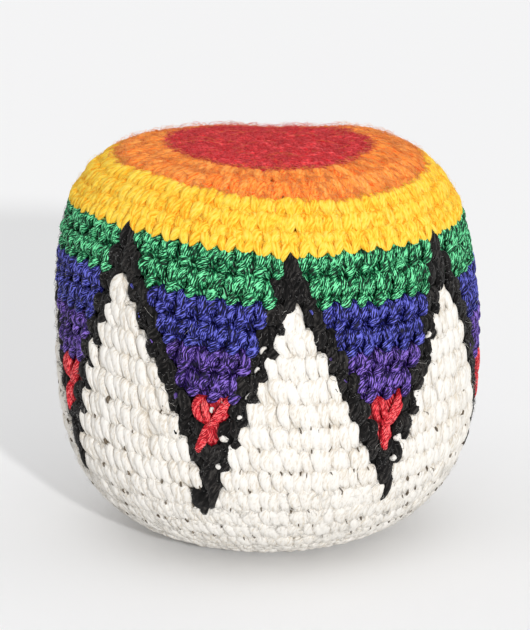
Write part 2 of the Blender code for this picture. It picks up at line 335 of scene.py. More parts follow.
def tube_coordinates(length, sides):
    """Strand coordinates of the faces' corners: a share of the way round, and millimetres along."""
    grid = np.arange(sides + 1) / sides
    left, right = grid[:-1], grid[1:]
    low, high = length[:, 1:-2, None], length[:, 2:-1, None]
    quads = np.stack(np.broadcast_arrays(left, low, right, low, right, high, left, high), axis=-1)
    caps = []
    for pole, rim, one, two in ((0, 1, right, left), (-1, -2, left, right)):
        pole, rim = length[:, pole, None], length[:, rim, None]
        caps.append(np.stack(np.broadcast_arrays((left + right) / 2, pole, one, rim, two, rim), axis=-1))
    return quads.reshape(-1, 4, 2), np.concatenate(caps, axis=1).reshape(-1, 3, 2)


def tubes(spines, ups, wide, thick, sides, tone_and_shade, slot=0, plies=0, ply_depth=0.0, twist=0.0, end_shade=0.0):
    """Closed tubes round smooth spines, with rounded ends darkened by painted shade, as one batch of mesh
    data.
    """
    count, knots = spines.shape[:2]
    rings = knots - 2
    along = unit(np.gradient(spines, axis=1))[:, 1:-1]
    across = unit(np.cross(ups[:, 1:-1], along))
    out = np.cross(along, across)
    side = 2 * math.pi * np.arange(sides) / sides
    steps = np.linalg.norm(np.diff(spines, axis=1), axis=2)
    reach = np.concatenate((np.zeros((count, 1)), np.cumsum(steps, axis=1)), axis=1)
    start = rng.uniform(0, PATTERN_SHIFT, (count, 1))
    grow = np.ones((count, rings, sides))
    if plies:
        turn = side[None, None, :] - twist * (reach[:, 1:-1, None] / MM + start[:, :, None])
        grow += ply_depth * (np.abs(np.cos(plies * turn / 2)) - 1)
    ring = spines[:, 1:-1, None, :]
    ring = ring + across[:, :, None, :] * (wide[..., None] * np.cos(side) * grow)[..., None]
    ring = ring + out[:, :, None, :] * (thick[..., None] * np.sin(side) * grow)[..., None]
    ring = ring.reshape(count, rings * sides, 3)
    points = np.concatenate((spines[:, :1], ring, spines[:, -1:]), axis=1)
    quads, tris = tube_faces(count, rings, sides)
    quad_uv, tri_uv = tube_coordinates(reach / MM + start, sides)
    # Painted shade: each strand's ends, where they dip between the stitches, are made darker
    reached = np.abs(np.sin(np.linspace(-math.pi / 2, math.pi / 2, rings)))
    shade = np.concatenate(([1.0], np.repeat(fade(reached, SHADE_START, 1.0), sides), [1.0]))
    return {
        "points": points.reshape(-1, 3),
        "quads": quads,
        "tris": tris,
        "quad_uv": quad_uv,
        "tri_uv": tri_uv,
        "tone_and_shade": (tone_and_shade[:, None] - end_shade * shade).ravel(),
        "slot": slot,
    }


def settle(points):
    """The stuffed bag's own slight lean and its sagging crown; it never dips below the floor."""
    depth = np.interp(points[:, 0] / MM, SAG_SIDES, SAG_DEPTHS) * MM
    points[:, 2] -= depth * fade(points[:, 1], SAG_FRONT, SAG_BACK) * fade(points[:, 2], SAG_LOW, SAG_HIGH)
    above = np.clip((points[:, 2] - LEAN_START) / (BASE_DROP + CROWN_RISE - LEAN_START), 0, 1)
    points[:, 0] -= LEAN * above * (2 - above)
    points[:, 2] = np.maximum(points[:, 2], FLOOR_CLEARANCE)
    return points


def make_mesh(name, batches, materials):
    """One mesh of all the batches, with strand coordinates and a tone for each point: each strand's random
    tone, with painted shade on its ends and on the backing.
    """
    firsts = np.cumsum([0] + [len(batch["points"]) for batch in batches])
    points = settle(np.concatenate([batch["points"] for batch in batches]))
    quads = np.concatenate([batch["quads"] + first for batch, first in zip(batches, firsts)])
    tris = np.concatenate([batch["tris"] + first for batch, first in zip(batches, firsts)])
    slots = [np.full(len(batch[faces]), batch["slot"]) for faces in ("quads", "tris") for batch in batches]
    uvs = [batch[corners].ravel() for corners in ("quad_uv", "tri_uv") for batch in batches]
    tone_and_shade = np.concatenate([batch["tone_and_shade"] for batch in batches])
    corners = np.concatenate((quads.ravel(), tris.ravel()))
    starts = np.concatenate((4 * np.arange(len(quads)), 4 * len(quads) + 3 * np.arange(len(tris))))
    mesh = bpy.data.meshes.new(name)
    mesh.vertices.add(len(points))
    mesh.vertices.foreach_set("co", points.astype(np.float32).ravel())
    mesh.loops.add(len(corners))
    mesh.loops.foreach_set("vertex_index", corners.astype(np.int32))
    mesh.polygons.add(len(starts))
    mesh.polygons.foreach_set("loop_start", starts.astype(np.int32))
    for material in materials:
        mesh.materials.append(material)
    mesh.update(calc_edges=True)
    mesh.polygons.foreach_set("material_index", np.concatenate(slots).astype(np.int32))
    mesh.polygons.foreach_set("use_smooth", np.ones(len(starts), dtype=bool))
    mesh.uv_layers.new(name="Strand").data.foreach_set("uv", np.concatenate(uvs).astype(np.float32))
    mesh.attributes.new("tone_and_shade", "FLOAT", "POINT").data.foreach_set("value", tone_and_shade.astype(np.float32))
    mesh.update()
    return mesh


# Materials

# Fibre marks: how fast they change round a strand and along it, and their noise
MARKS_ROUND = 2.3
MARKS_ALONG = 1.3
MARK_SCALE = 1.6
MARK_DETAIL = 3.0
PATCH_DETAIL = 1.0
# How far a strand's random tone and its painted shade move its colour
TONE_AND_SHADE_SHARE = 0.14
DARK_AT, MIDDLE_AT = 0.1, 0.46
PLY_HEIGHT = 0.6
BUMP_DEPTH = 0.1 * MM
SHEEN_ROUGHNESS = 0.45
SOFT_TWIST = 0.6
SATIN_TWIST = 1.15

# A yarn's look: its twist in radians a millimetre, its plies, the marks on its colour, and its finish
# crease_shade is painted shade on the flanks and underside of each strand
# ply_light_and_shade paints highlight on the ply crests and shade in the grooves between them
PLAIN = dict(
    twist=SOFT_TWIST, plies=6, ply_light_and_shade=0.3, level=0.46, light_at=0.95, streaks=1.0, rough=0.8, sheen=0.1,
    bump=0.5, gloss=0.2, crease_shade=0.0, patch_size=0.9, patch_mark=1.3,
)
SATIN = dict(
    PLAIN, twist=SATIN_TWIST, plies=12, ply_light_and_shade=0.44, level=0.375, light_at=0.92, streaks=1.25, rough=0.42,
    sheen=0.0, bump=0.8, gloss=0.22, crease_shade=0.14, patch_size=1.6, patch_mark=1.7,
)
FELT = dict(PLAIN, streaks=1.2, rough=0.95, sheen=0.12, gloss=0.08)
SOFT = dict(
    PLAIN, plies=7, ply_light_and_shade=0.2, level=0.49, streaks=0.75, sheen=0.0, bump=0.6, gloss=0.12, crease_shade=0.12,
)
SOFT_ORANGE = dict(SOFT, level=0.54, crease_shade=0.1)
COTTON = dict(
    PLAIN, ply_light_and_shade=0.15, level=0.5, streaks=0.7, rough=0.9, sheen=0.0, bump=0.55, gloss=0.1, crease_shade=0.07,
)
FIBRE = dict(PLAIN, streaks=0.8, rough=0.9, gloss=0.1)
PLASTIC = dict(PLAIN, rough=0.45, sheen=0.0)

# Each material's look, and its darkest, middle and lightest colours
# In satin yarn the lightest colour is a painted glint and the darkest is painted shade in the grooves
YARN_COLOURS = {
    "crimson_yarn": (FELT, (0.58, 0.012, 0.02), (1.0, 0.044, 0.053), (1.0, 0.125, 0.13)),
    "orange_yarn": (SOFT_ORANGE, (0.98, 0.115, 0.012), (1.0, 0.325, 0.05), (1.0, 0.46, 0.125)),
    "yellow_yarn": (SOFT, (0.92, 0.34, 0.01), (0.94, 0.61, 0.052), (0.95, 0.72, 0.14)),
    "green_yarn": (SATIN, (0.0002, 0.016, 0.006), (0.002, 0.205, 0.07), (0.23, 0.93, 0.45)),
    "blue_yarn": (SATIN, (0.001, 0.001, 0.022), (0.013, 0.015, 0.205), (0.17, 0.18, 0.74)),
    "purple_yarn": (SATIN, (0.005, 0.002, 0.024), (0.047, 0.017, 0.2), (0.29, 0.17, 0.68)),
    "heart_red_yarn": (SATIN, (0.34, 0.005, 0.012), (0.92, 0.024, 0.046), (1.0, 0.2, 0.2)),
    "black_yarn": (FIBRE, (0.003, 0.003, 0.003), (0.01, 0.009, 0.009), (0.05, 0.046, 0.043)),
    "natural_yarn": (COTTON, (0.68, 0.615, 0.52), (0.84, 0.81, 0.76), (0.865, 0.84, 0.8)),
    "crimson_fuzz": (FIBRE, (0.28, 0.005, 0.012), (0.98, 0.048, 0.06), (1.0, 0.26, 0.27)),
    "orange_fuzz": (FIBRE, (0.98, 0.24, 0.03), (1.0, 0.37, 0.08), (1.0, 0.54, 0.24)),
    "yellow_fuzz": (FIBRE, (1.0, 0.56, 0.02), (1.0, 0.7, 0.06), (1.0, 0.8, 0.2)),
    "natural_fuzz": (FIBRE, (0.72, 0.68, 0.61), (0.81, 0.785, 0.74), (0.86, 0.84, 0.8)),
    # Carried yarn in the white's gaps: real yarn, coloured grey-brown as the painted shade there
    "carried_yarn_and_gap_shade": (FIBRE, (0.07, 0.05, 0.035), (0.16, 0.13, 0.095), (0.3, 0.25, 0.19)),
    "lint": (FIBRE, (0.03, 0.03, 0.03), (0.12, 0.12, 0.12), (0.4, 0.39, 0.38)),
    "plastic_pellets": (PLASTIC, (0.5, 0.48, 0.44), (0.62, 0.6, 0.55), (0.7, 0.68, 0.64)),
}


def shade_nodes(name):
    material = bpy.data.materials.new(name)
    material.use_nodes = True
    nodes, links = material.node_tree.nodes, material.node_tree.links
    return material, nodes, links, nodes["Principled BSDF"]


def math_node(nodes, links, operation, *values):
    """A math node whose inputs are numbers or sockets; returns its output."""
    node = nodes.new("ShaderNodeMath")
    node.operation = operation
    for socket, value in zip(node.inputs, values):
        if isinstance(value, (int, float)):
            socket.default_value = value
        else:
            links.new(value, socket)
    return node.outputs[0]


def noise_node(nodes, links, spot, scale, detail):
    noise = nodes.new("ShaderNodeTexNoise")
    noise.inputs["Scale"].default_value = scale
    noise.inputs["Detail"].default_value = detail
    links.new(spot, noise.inputs["Vector"])
    return noise.outputs[0]


def colour_ramp(nodes, links, value, stops):
    ramp = nodes.new("ShaderNodeValToRGB")
    ramp.color_ramp.elements.remove(ramp.color_ramp.elements[1])
    ramp.color_ramp.elements[0].position = stops[0][0]
    ramp.color_ramp.elements[0].color = (*stops[0][1], 1)
    for place, colour in stops[1:]:
        ramp.color_ramp.elements.new(place).color = (*colour, 1)
    links.new(value, ramp.inputs[0])
    return ramp.outputs[0]


def yarn_material(name, look, dark, middle, light):
    """Twisted yarn: plies that wind round the strand, with painted highlight on their crests and painted
    shade in their grooves, fine fibre streaks along them, and the strand's tone with painted shade on its
    flanks and ends.
    """
    material, nodes, links, shader = shade_nodes(name)
    uv = nodes.new("ShaderNodeUVMap")
    uv.uv_map = "Strand"
    split = nodes.new("ShaderNodeSeparateXYZ")
    links.new(uv.outputs[0], split.inputs[0])
    around, along = split.outputs[0], split.outputs[1]
    tone_and_shade = nodes.new("ShaderNodeAttribute")
    tone_and_shade.attribute_name = "tone_and_shade"

    def calc(operation, *values):
        return math_node(nodes, links, operation, *values)

    turned = calc("SUBTRACT", around, calc("MULTIPLY", along, look["twist"] / (2 * math.pi)))
    angle = calc("MULTIPLY", turned, 2 * math.pi)
    ply = calc("ABSOLUTE", calc("COSINE", calc("MULTIPLY", angle, look["plies"] / 2)))
    spot = nodes.new("ShaderNodeCombineXYZ")
    links.new(calc("MULTIPLY", calc("COSINE", angle), MARKS_ROUND), spot.inputs[0])
    links.new(calc("MULTIPLY", calc("SINE", angle), MARKS_ROUND), spot.inputs[1])
    links.new(calc("MULTIPLY", along, MARKS_ALONG), spot.inputs[2])
    fibre = noise_node(nodes, links, spot.outputs[0], MARK_SCALE, MARK_DETAIL)
    patch = noise_node(nodes, links, spot.outputs[0], look["patch_size"], PATCH_DETAIL)
    # Fibre streaks and patches of tone; in satin yarn they also break the painted glints into short dashes
    streaks = calc("MULTIPLY", calc("SUBTRACT", fibre, 0.5), 2.0 * look["streaks"])
    patches = calc("MULTIPLY", calc("SUBTRACT", patch, 0.5), look["patch_mark"] * look["streaks"])
    # Painted highlight on the ply crests and painted shade in the grooves between them
    plies = calc("MULTIPLY", calc("SUBTRACT", calc("POWER", ply, 2.0), 0.5), look["ply_light_and_shade"])
    marks = calc("ADD", streaks, calc("ADD", plies, patches))
    # The strand's random tone, with the painted shade on its ends and on the backing bands
    mixed = calc("ADD", marks, calc("MULTIPLY", tone_and_shade.outputs["Fac"], TONE_AND_SHADE_SHARE))
    # Painted shade: each strand's flanks and underside, where it meets its neighbours, are darker
    facing = calc("SINE", calc("MULTIPLY", around, 2 * math.pi))
    flank_shade = calc("POWER", calc("SUBTRACT", 1.0, calc("MAXIMUM", facing, 0.0)), 2.0)
    crease_shaded = calc("SUBTRACT", mixed, calc("MULTIPLY", flank_shade, look["crease_shade"]))
    stops = ((DARK_AT, dark), (MIDDLE_AT, middle), (look["light_at"], light))
    colour = colour_ramp(nodes, links, calc("ADD", crease_shaded, look["level"]), stops)
    links.new(colour, shader.inputs["Base Color"])
    bumps = nodes.new("ShaderNodeBump")
    bumps.inputs["Strength"].default_value = look["bump"]
    bumps.inputs["Distance"].default_value = BUMP_DEPTH
    links.new(calc("ADD", calc("MULTIPLY", ply, PLY_HEIGHT), fibre), bumps.inputs["Height"])
    links.new(bumps.outputs[0], shader.inputs["Normal"])
    shader.inputs["Roughness"].default_value = look["rough"]
    shader.inputs["Sheen Weight"].default_value = look["sheen"]
    shader.inputs["Sheen Roughness"].default_value = SHEEN_ROUGHNESS
    shader.inputs["Specular IOR Level"].default_value = look["gloss"]
    return material


YARNS = {name: yarn_material(name, *look) for name, look in YARN_COLOURS.items()}


# Stitches

# Half widths of legs and teeth and their spread are in stitches, and thick, backing and crest are in
# millimetres. relief scales how deep the strands' ends dip.
# end_shade is painted shade: how much darker the strands' ends are where they dip into the crevices
PLAIN_STRANDS = dict(
    plies=0, ply_depth=0.0, twist=SOFT_TWIST, leg=0.29, tooth=0.24, relief=1.0, thick=0.5, spread=0.035,
    taper=0.3, backing=-1.32, crest=CREST_LEVEL, short_teeth=False, end_shade=0.0, leaves=None,
)
TWISTED = dict(
    PLAIN_STRANDS, sides=48, rings=18, plies=12, ply_depth=0.26, twist=SATIN_TWIST, leg=0.285, tooth=0.265,
    relief=1.15, thick=0.48, spread=0.045, short_teeth=True, end_shade=3.6,
)
SOFT_STRANDS = dict(PLAIN_STRANDS, sides=20, rings=11, plies=7, ply_depth=0.1, spread=0.05, leaves=SOFT_PAIR)
WHITE_STRANDS = dict(PLAIN_STRANDS, sides=18, rings=11, plies=6, leaves=WHITE_LEAVES)
STYLES = {
    "crimson_yarn": dict(
        PLAIN_STRANDS, sides=14, rings=9, leg=0.36, tooth=0.32, relief=0.2, thick=0.36, backing=-1.1,
    ),
    "orange_yarn": dict(
        SOFT_STRANDS, leg=0.315, relief=0.24, thick=0.42, taper=0.1, backing=-0.76, end_shade=0.6,
    ),
    "yellow_yarn": dict(
        SOFT_STRANDS, leg=0.31, relief=0.42, thick=0.46, taper=0.12, backing=-0.88, end_shade=1.0,
    ),
    "green_yarn": TWISTED,
    "blue_yarn": TWISTED,
    "purple_yarn": TWISTED,
    "heart_red_yarn": TWISTED,
    "black_yarn": dict(
        PLAIN_STRANDS, sides=20, rings=11, plies=6, ply_depth=0.14, leg=0.32, tooth=0.25, relief=0.5,
        thick=0.42, spread=0.06, crest=-0.47,
    ),
    "natural_yarn": dict(
        WHITE_STRANDS, ply_depth=0.08, leg=0.29, relief=0.5, thick=0.46, spread=0.07, taper=0.22,
        backing=-0.96, end_shade=1.0,
    ),
}
BASE_WHITE = dict(
    WHITE_STRANDS, ply_depth=0.06, leg=0.31, relief=0.18, thick=0.37, spread=0.06, taper=0.15,
    backing=-0.76, end_shade=0.3,
)
# White stitches further down than this are under the bag, and are cut more coarsely
HIDDEN_START = 0.0685
HIDDEN_WHITE = dict(PLAIN_STRANDS, sides=8, rings=6, leg=0.31, relief=0.18, thick=0.37, leaves=WHITE_LEAVES)
PEEP_STRANDS = dict(PLAIN_STRANDS, sides=10, rings=6, thick=0.3, spread=0.09)
# What differs in the black line's special strands and in the yellow points
LOOSE_LOOK = dict(relief=1.0, crest=CREST_LEVEL, spread=0.02)
POINT_LOOK = dict(relief=0.9, crest=-0.3, spread=0.025)


def strand_batch(stitches, style, template, width, taper=0.0, tint_level=0.0, fullness=LEG_FULLNESS):
    """The same strand of every stitch in a list of (angle, pitch, start, height)."""
    angle, pitch, start, height = (np.array(values) for values in zip(*stitches))
    count = len(angle)
    spread = style["spread"]
    points = np.array(template)[None].repeat(count, axis=0)
    points[:, :, 2] = style["crest"] + style["relief"] * (points[:, :, 2] - CREST_LEVEL)
    shift = rng.normal(0, spread, (count, 1, 2))
    points[:, :, :2] += shift + rng.normal(0, spread / 2, (count, len(template), 2))
    points[:, 1:-1, 2] += rng.normal(0, DEPTH_SPREAD, (count, 1))
    places = places_along(style["rings"])
    knots = np.einsum("rk,skc->src", spline_weights(len(template), places), points)
    angles = angle[:, None] + knots[:, :, 0] * pitch[:, None]
    distances = start[:, None] + knots[:, :, 1] * height[:, None]
    spines, ups = on_cover(angles, distances, knots[:, :, 2] * MM)
    swell = (np.sqrt(4 * places * (1 - places)) ** fullness * (1 + taper * (1 - 2 * places)))[1:-1]
    middle = outline_radius(start + height / 2) * pitch
    size = rng.normal(1, SIZE_SPREAD, (count, 1))
    wide = swell[None] * (width * middle)[:, None] * size
    thick = swell[None] * style["thick"] * MM * size
    tone_and_shade = tint_level + rng.uniform(-1, 1, count)
    marks = {key: style[key] for key in ("plies", "ply_depth", "twist", "end_shade")}
    return tubes(spines, ups, wide, thick, style["sides"], tone_and_shade, **marks)


def leg_batches(stitches, style):
    return [strand_batch(stitches, style, leg, style["leg"]) for leg in LEGS]


def stitch_batches(stitches, style):
    """Every strand of the stitches. In satin yarn only the last round's teeth reach over the next."""
    taper = style["taper"]
    if style["leaves"]:
        full = dict(taper=taper, fullness=LEAF_FULLNESS)
        return [strand_batch(stitches, style, leaf, style["leg"], **full) for leaf in style["leaves"]]
    last = max(stitch[2] for stitch in stitches)
    inner = [stitch for stitch in stitches if stitch[2] < last and style["short_teeth"]]
    outer = [stitch for stitch in stitches if stitch not in inner]
    batches = leg_batches(stitches, style)
    for group, template in ((inner, SHORT_TOOTH), (outer, TOOTH)):
        if group:
            batches.append(strand_batch(group, style, template, style["tooth"], taper=taper))
    return batches


def backing_batch(stitches, lift):
    """A flat band behind a run of neighbouring stitches of one round, darker as painted shade."""
    angle, pitch, start, height = stitches[0]
    last = stitches[-1][0]
    steps = max(4, 2 * len(stitches) + 2)
    overlap = BACKING_OVERLAP * pitch
    angles = np.linspace(angle - overlap, last + overlap, steps)[None]
    distances = np.full_like(angles, start + BACKING_MIDDLE * height)
    spines, ups = on_cover(angles, distances, np.full_like(angles, lift * MM))
    wide = np.full((1, steps - 2), BACKING_WIDTH * height)
    thick = np.full((1, steps - 2), BACKING_THICK * MM)
    return tubes(spines, ups, wide, thick, BACKING_SIDES, np.array([BACKING_SHADE]))


def plain_rounds(counts, start, height, phase):
    """Rounds of one yarn, each half a stitch on from the one above it."""
    rounds = []
    for number, count in enumerate(counts):
        pitch = 2 * math.pi / count
        first = phase + (number % 2) * math.pi / count
        top = start + number * height
        rounds.append([(first + pitch * place, pitch, top, height) for place in range(count)])
    return rounds


def pattern_rounds():
    """The stitches of the peaks and panels, sorted by piece, round and peak."""
    groups = {}
    pitch = 2 * math.pi / (PEAKS * STITCHES_PER_PEAK)
    for number in range(1, PATTERN_ROUNDS + 1):
        half = (number - 1) / 2
        lean = ROUND_LEAN * (number - 0.5)
        top = pattern_level(number - 1)
        for peak in range(PEAKS):
            axis = PEAK_ANGLE + lean + 2 * math.pi * peak / PEAKS
            for index in range(STITCHES_PER_PEAK):
                stitch = (axis + (index - half) * pitch, pitch, top, PATTERN_ROUND_HEIGHT)
                group = (pattern_piece(number, index, peak + 1), number, peak)
                groups.setdefault(group, []).append(stitch)
    return groups


def pattern_piece(number, index, panel):
    """The piece that a stitch belongs to: index 0 is the left edge of the peak's triangle."""
    if index < number and index not in (0, number - 1):
        return "white_base"
    if index < number:
        return "black_zigzag"
    kind = next(kind for last, kind in PANEL_KINDS if number <= last)
    return f"{kind}_{panel}"


def neighbours(stitches):
    """Splits a list of stitches of one round where it jumps."""
    runs = [[stitches[0]]]
    for before, after in zip(stitches, stitches[1:]):
        if after[0] - before[0] > RUN_GAP * after[1]:
            runs.append([])
        runs[-1].append(after)
    return runs


def cover_areas():
    """The runs of neighbouring stitches of each area of the cover."""
    yellow_phase = PEAK_ANGLE + math.pi / (PEAKS * STITCHES_PER_PEAK)
    areas = {
        "crimson_crown": plain_rounds(CROWN_COUNTS, 0.0, CROWN_ROUND_HEIGHT, PEAK_ANGLE),
        "orange_band": plain_rounds(ORANGE_COUNTS, ORANGE_START, ORANGE_ROUND_HEIGHT, PEAK_ANGLE),
        "yellow_band": plain_rounds(YELLOW_COUNTS, YELLOW_START, YELLOW_ROUND_HEIGHT, yellow_phase),
    }
    for group, stitches in pattern_rounds().items():
        areas.setdefault(group[0], []).extend(neighbours(stitches))
    phase = PEAK_ANGLE + ROUND_LEAN * PATTERN_ROUNDS
    first, *others = plain_rounds(BASE_COUNTS, BASE_START, BASE_ROUND_HEIGHT, phase)
    white = []
    for place, stitch in enumerate(first):
        peak, across = divmod(place, STITCHES_PER_PEAK)
        if across == STITCHES_PER_PEAK // 2 and peak in LONG_VALLEYS:
            areas["black_zigzag"].append([stitch])
        else:
            white.append(stitch)
    areas["white_base"] += neighbours(white) + others
    return areas


# Fuzz and carried yarn

# Loose fibres: how many in all or on each stitch; their length, radius and lowest and highest place, in
# millimetres; their material's place in the piece; and their curl
FIBRES = {
    "crown_felt": (3000, 2.2, 0.045, -0.25, 0.06, 1, 0.8),
    "crown_stray": (1100, 2.1, 0.017, -0.1, 0.6, 1, 0.7),
    "crown_orange": (60, 3.2, 0.018, 0.0, 0.3, 2, 0.5),
    "orange_felt": (4000, 1.9, 0.036, -0.28, 0.04, 1, 0.8),
    "orange_stray": (800, 1.9, 0.014, -0.1, 0.45, 1, 0.7),
    "yellow_felt": (1800, 1.8, 0.03, -0.3, 0.0, 1, 0.7),
    "yellow_stray": (800, 1.8, 0.014, -0.2, 0.32, 1, 0.6),
    "white_long": (120, 2.0, 0.014, -0.3, 0.25, 1, 0.5),
    "white_stray": (1, 1.8, 0.014, -0.3, 0.2, 1, 0.5),
    "white_felt": (5, 1.5, 0.028, -0.34, -0.04, 1, 0.5),
    "collar_felt": (8, 1.7, 0.04, -0.3, -0.04, 1, 0.5),
    "black_lint": (18, 0.26, 0.034, -0.14, 0.05, 1, 0.7),
    "black_pale": (3, 1.0, 0.016, -0.25, 0.08, 1, 0.7),
    "black_loose": (5, 2.0, 0.022, -0.35, 0.1, 0, 0.7),
}
FIBRE_KNOTS = 6
FIBRE_RINGS = 6
FIBRE_SIDES = 3
FIBRE_TAPER = 0.5
# Shares of the length and of the height that single fibres have, between these
LENGTH_SHARES = (0.5, 1.4)
RISE_SHARES = (0.3, 1.2)
STAND_SHARES = (0, 0.7)
LEAST_RADIUS = 2 * MM
PLACE_TRIES = 6
# How far fibres reach past their own yarn, and where the long white ones end
NARROW_EDGE = 0.4 * MM
WIDE_EDGE = 0.5 * MM
LONG_WHITE_ROUNDS = 3
LONG_WHITE_END = 8 * MM

# Bits of other yarn that peep out: the share of the stitches that have one, its two ends, half width and
# height in the middle, its material's place in the piece, and its tint
PEEPS = {
    "under_orange": (0.7, ((0.01, 0.52), (0.02, 0.76)), 0.05, -0.44, 2, -0.5),
    "under_yellow": (0.8, ((0.01, 0.5), (0.02, 0.76)), 0.05, -0.42, 2, -0.5),
    "white_side": (0.35, ((0.46, 0.78), (0.5, 1.02)), 0.035, -0.2, 2, -0.6),
    "white_foot": (0.25, ((0.00, 0.8), (0.03, 1.00)), 0.03, -0.2, 2, -0.6),
    "white_edge": (0.5, ((0.2, 0.3), (0.3, 0.62)), 0.07, -0.16, 3, 0.0),
    "white_dot": (1, ((-0.16, 0.7), (0.06, 0.52)), 0.1, -0.17, 2, 0.6),
    "panel_bit": (1, ((-0.33, 0.04), (-0.18, 0.18)), 0.08, -0.28, 3, 0.5),
    "heart_gap": (1, ((0.08, -0.62), (0.24, -0.76)), 0.08, -0.18, 1, 0.6),
}
PEEP_DIP = 0.45
# Where carried yarn shows between the white stitches, grey-brown as painted shade in the gaps, and where
# black starts to show at the white's edges
DARK_FROM, DARK_TO = pattern_level(5.5), BASE_START + 2.5 * BASE_ROUND_HEIGHT
EDGE_FROM = pattern_level(4.5)
# White dots on the black line's left strokes: their half widths by round, and their share at the back
DOT_WIDTHS = {4: 0.08, 5: 0.075, 6: 0.02, 7: 0.09, 8: 0.24, 9: 0.15, 10: 0.14}
BACK_DOT_SHARE = 0.3
# Blue and purple on its right strokes: the rounds, the share, and their materials' places in the piece
PANEL_BIT_ROUNDS = range(3, 8)
PANEL_BIT_SHARE = 0.7
BLUE_PLACE, PURPLE_PLACE = 3, 4


def fibre_batch(kind, angles, distances):
    """Loose fibres on the cover: they start at low, rise to about high and end anywhere between."""
    length, radius, low, high = (value * MM for value in FIBRES[kind][1:5])
    slot, curl = FIBRES[kind][5:]
    count, knots = len(angles), FIBRE_KNOTS
    heading = rng.uniform(0, 2 * math.pi, (count, 1)) + np.cumsum(rng.normal(0, curl, (count, knots)), axis=1)
    step = length * rng.uniform(*LENGTH_SHARES, (count, 1)) / (knots - 1)
    across = np.cumsum(np.cos(heading) * step, axis=1)
    down = np.cumsum(np.sin(heading) * step, axis=1)
    across -= across.mean(axis=1, keepdims=True)
    down -= down.mean(axis=1, keepdims=True)
    rise = np.sin(np.linspace(0, math.pi, knots))[None] * (high - low) * rng.uniform(*RISE_SHARES, (count, 1))
    stand = rng.uniform(*STAND_SHARES, (count, 1)) * np.linspace(0, 1, knots)[None] * (high - low)
    radii = np.maximum(outline_radius(distances), LEAST_RADIUS)[:, None]
    lift = low + rise + stand
    points = np.stack((angles[:, None] + across / radii, distances[:, None] + down, lift), axis=-1)
    places = places_along(FIBRE_RINGS)
    spots = np.einsum("rk,skc->src", spline_weights(knots, places), points)
    spines, ups = on_cover(spots[:, :, 0], np.abs(spots[:, :, 1]), spots[:, :, 2])
    size = np.broadcast_to((radius * (1 - FIBRE_TAPER * places[1:-1]))[None], (count, FIBRE_RINGS))
    return tubes(spines, ups, size, size, FIBRE_SIDES, rng.uniform(-1, 1, count), slot=slot)


def spread_fibres(kind, start, end):
    """Loose fibres spread evenly over the cover between two distances."""
    count = FIBRES[kind][0]
    distances = rng.uniform(start, end, PLACE_TRIES * count)
    keep = rng.uniform(0, 1, PLACE_TRIES * count) < outline_radius(distances) / EQUATOR_RADIUS
    distances = distances[keep][:count]
    return fibre_batch(kind, rng.uniform(-math.pi, math.pi, len(distances)), distances)


def stitch_fibres(kind, stitches):
    """Loose fibres that start on the given stitches."""
    spots = [stitch for stitch in stitches for _ in range(FIBRES[kind][0])]
    angle, pitch, start, height = (np.array(values) for values in zip(*spots))
    angles = angle + rng.uniform(-0.5, 0.5, len(spots)) * pitch
    distances = start + rng.uniform(0, 1, len(spots)) * height
    return fibre_batch(kind, angles, distances)


def peep_batch(kind, stitches, width=None, slot=None):
    """Short bits of carried yarn that show between strands; between the white stitches they are grey-brown,
    as painted shade.
    """
    share, (start, end), usual_width, lift, usual_slot, tint_level = PEEPS[kind]
    if share < 1:
        stitches = [stitch for stitch in stitches if rng.uniform() < share]
    middle = ((start[0] + end[0]) / 2, (start[1] + end[1]) / 2)
    template = ((*start, lift - PEEP_DIP), (*middle, lift), (*end, lift - PEEP_DIP))
    batch = strand_batch(stitches, PEEP_STRANDS, template, width or usual_width, tint_level=tint_level)
    batch["slot"] = slot or usual_slot
    return batch


def white_fuzz(runs):
    """Loose fibres, and the yarn carried along inside that peeps out between stitches: grey-brown as painted
    shade in the gaps, and black at the edges.
    """
    seen = [stitch for run in runs for stitch in run if stitch[2] < HIDDEN_START]
    collar = [stitch for stitch in seen if stitch[2] > BASE_START - MM]
    dark = [stitch for stitch in seen if DARK_FROM < stitch[2] < DARK_TO]
    edges = [run[-1] for run in runs if EDGE_FROM < run[0][2] < BASE_START - MM]
    return [
        spread_fibres("white_long", pattern_level(LONG_WHITE_ROUNDS), BASE_START + LONG_WHITE_END),
        stitch_fibres("white_stray", seen),
        stitch_fibres("white_felt", seen),
        stitch_fibres("collar_felt", collar),
        peep_batch("white_side", dark),
        peep_batch("white_foot", dark),
        peep_batch("white_edge", edges),
    ]


def black_details(runs):
    """Lint on the black line, and the other yarns that are carried behind it and peep out."""
    dots, bits = [], {BLUE_PLACE: [], PURPLE_PLACE: []}
    for run in runs:
        number = round((run[0][2] - PATTERN_START) / PATTERN_ROUND_HEIGHT) + 1
        for stitch in run:
            turn = (stitch[0] - PEAK_ANGLE - ROUND_LEAN * (number - 0.5)) / stitch[1] % STITCHES_PER_PEAK
            on_left = turn > STITCHES_PER_PEAK / 2
            in_front = abs(stitch[0] - PEAK_ANGLE) < math.pi / PEAKS
            if on_left and number in DOT_WIDTHS and (in_front or rng.uniform() < BACK_DOT_SHARE):
                dots.append(peep_batch("white_dot", [stitch], width=DOT_WIDTHS[number]))
            if not on_left and number in PANEL_BIT_ROUNDS and rng.uniform() < PANEL_BIT_SHARE:
                bits[BLUE_PLACE if number <= BLUE_LAST else PURPLE_PLACE].append(stitch)
    stitches = [stitch for run in runs for stitch in run]
    batches = [stitch_fibres(kind, stitches) for kind in ("black_lint", "black_pale", "black_loose")]
    batches += [peep_batch("panel_bit", stitches, slot=place) for place, stitches in bits.items()]
    return batches + dots


# Pieces

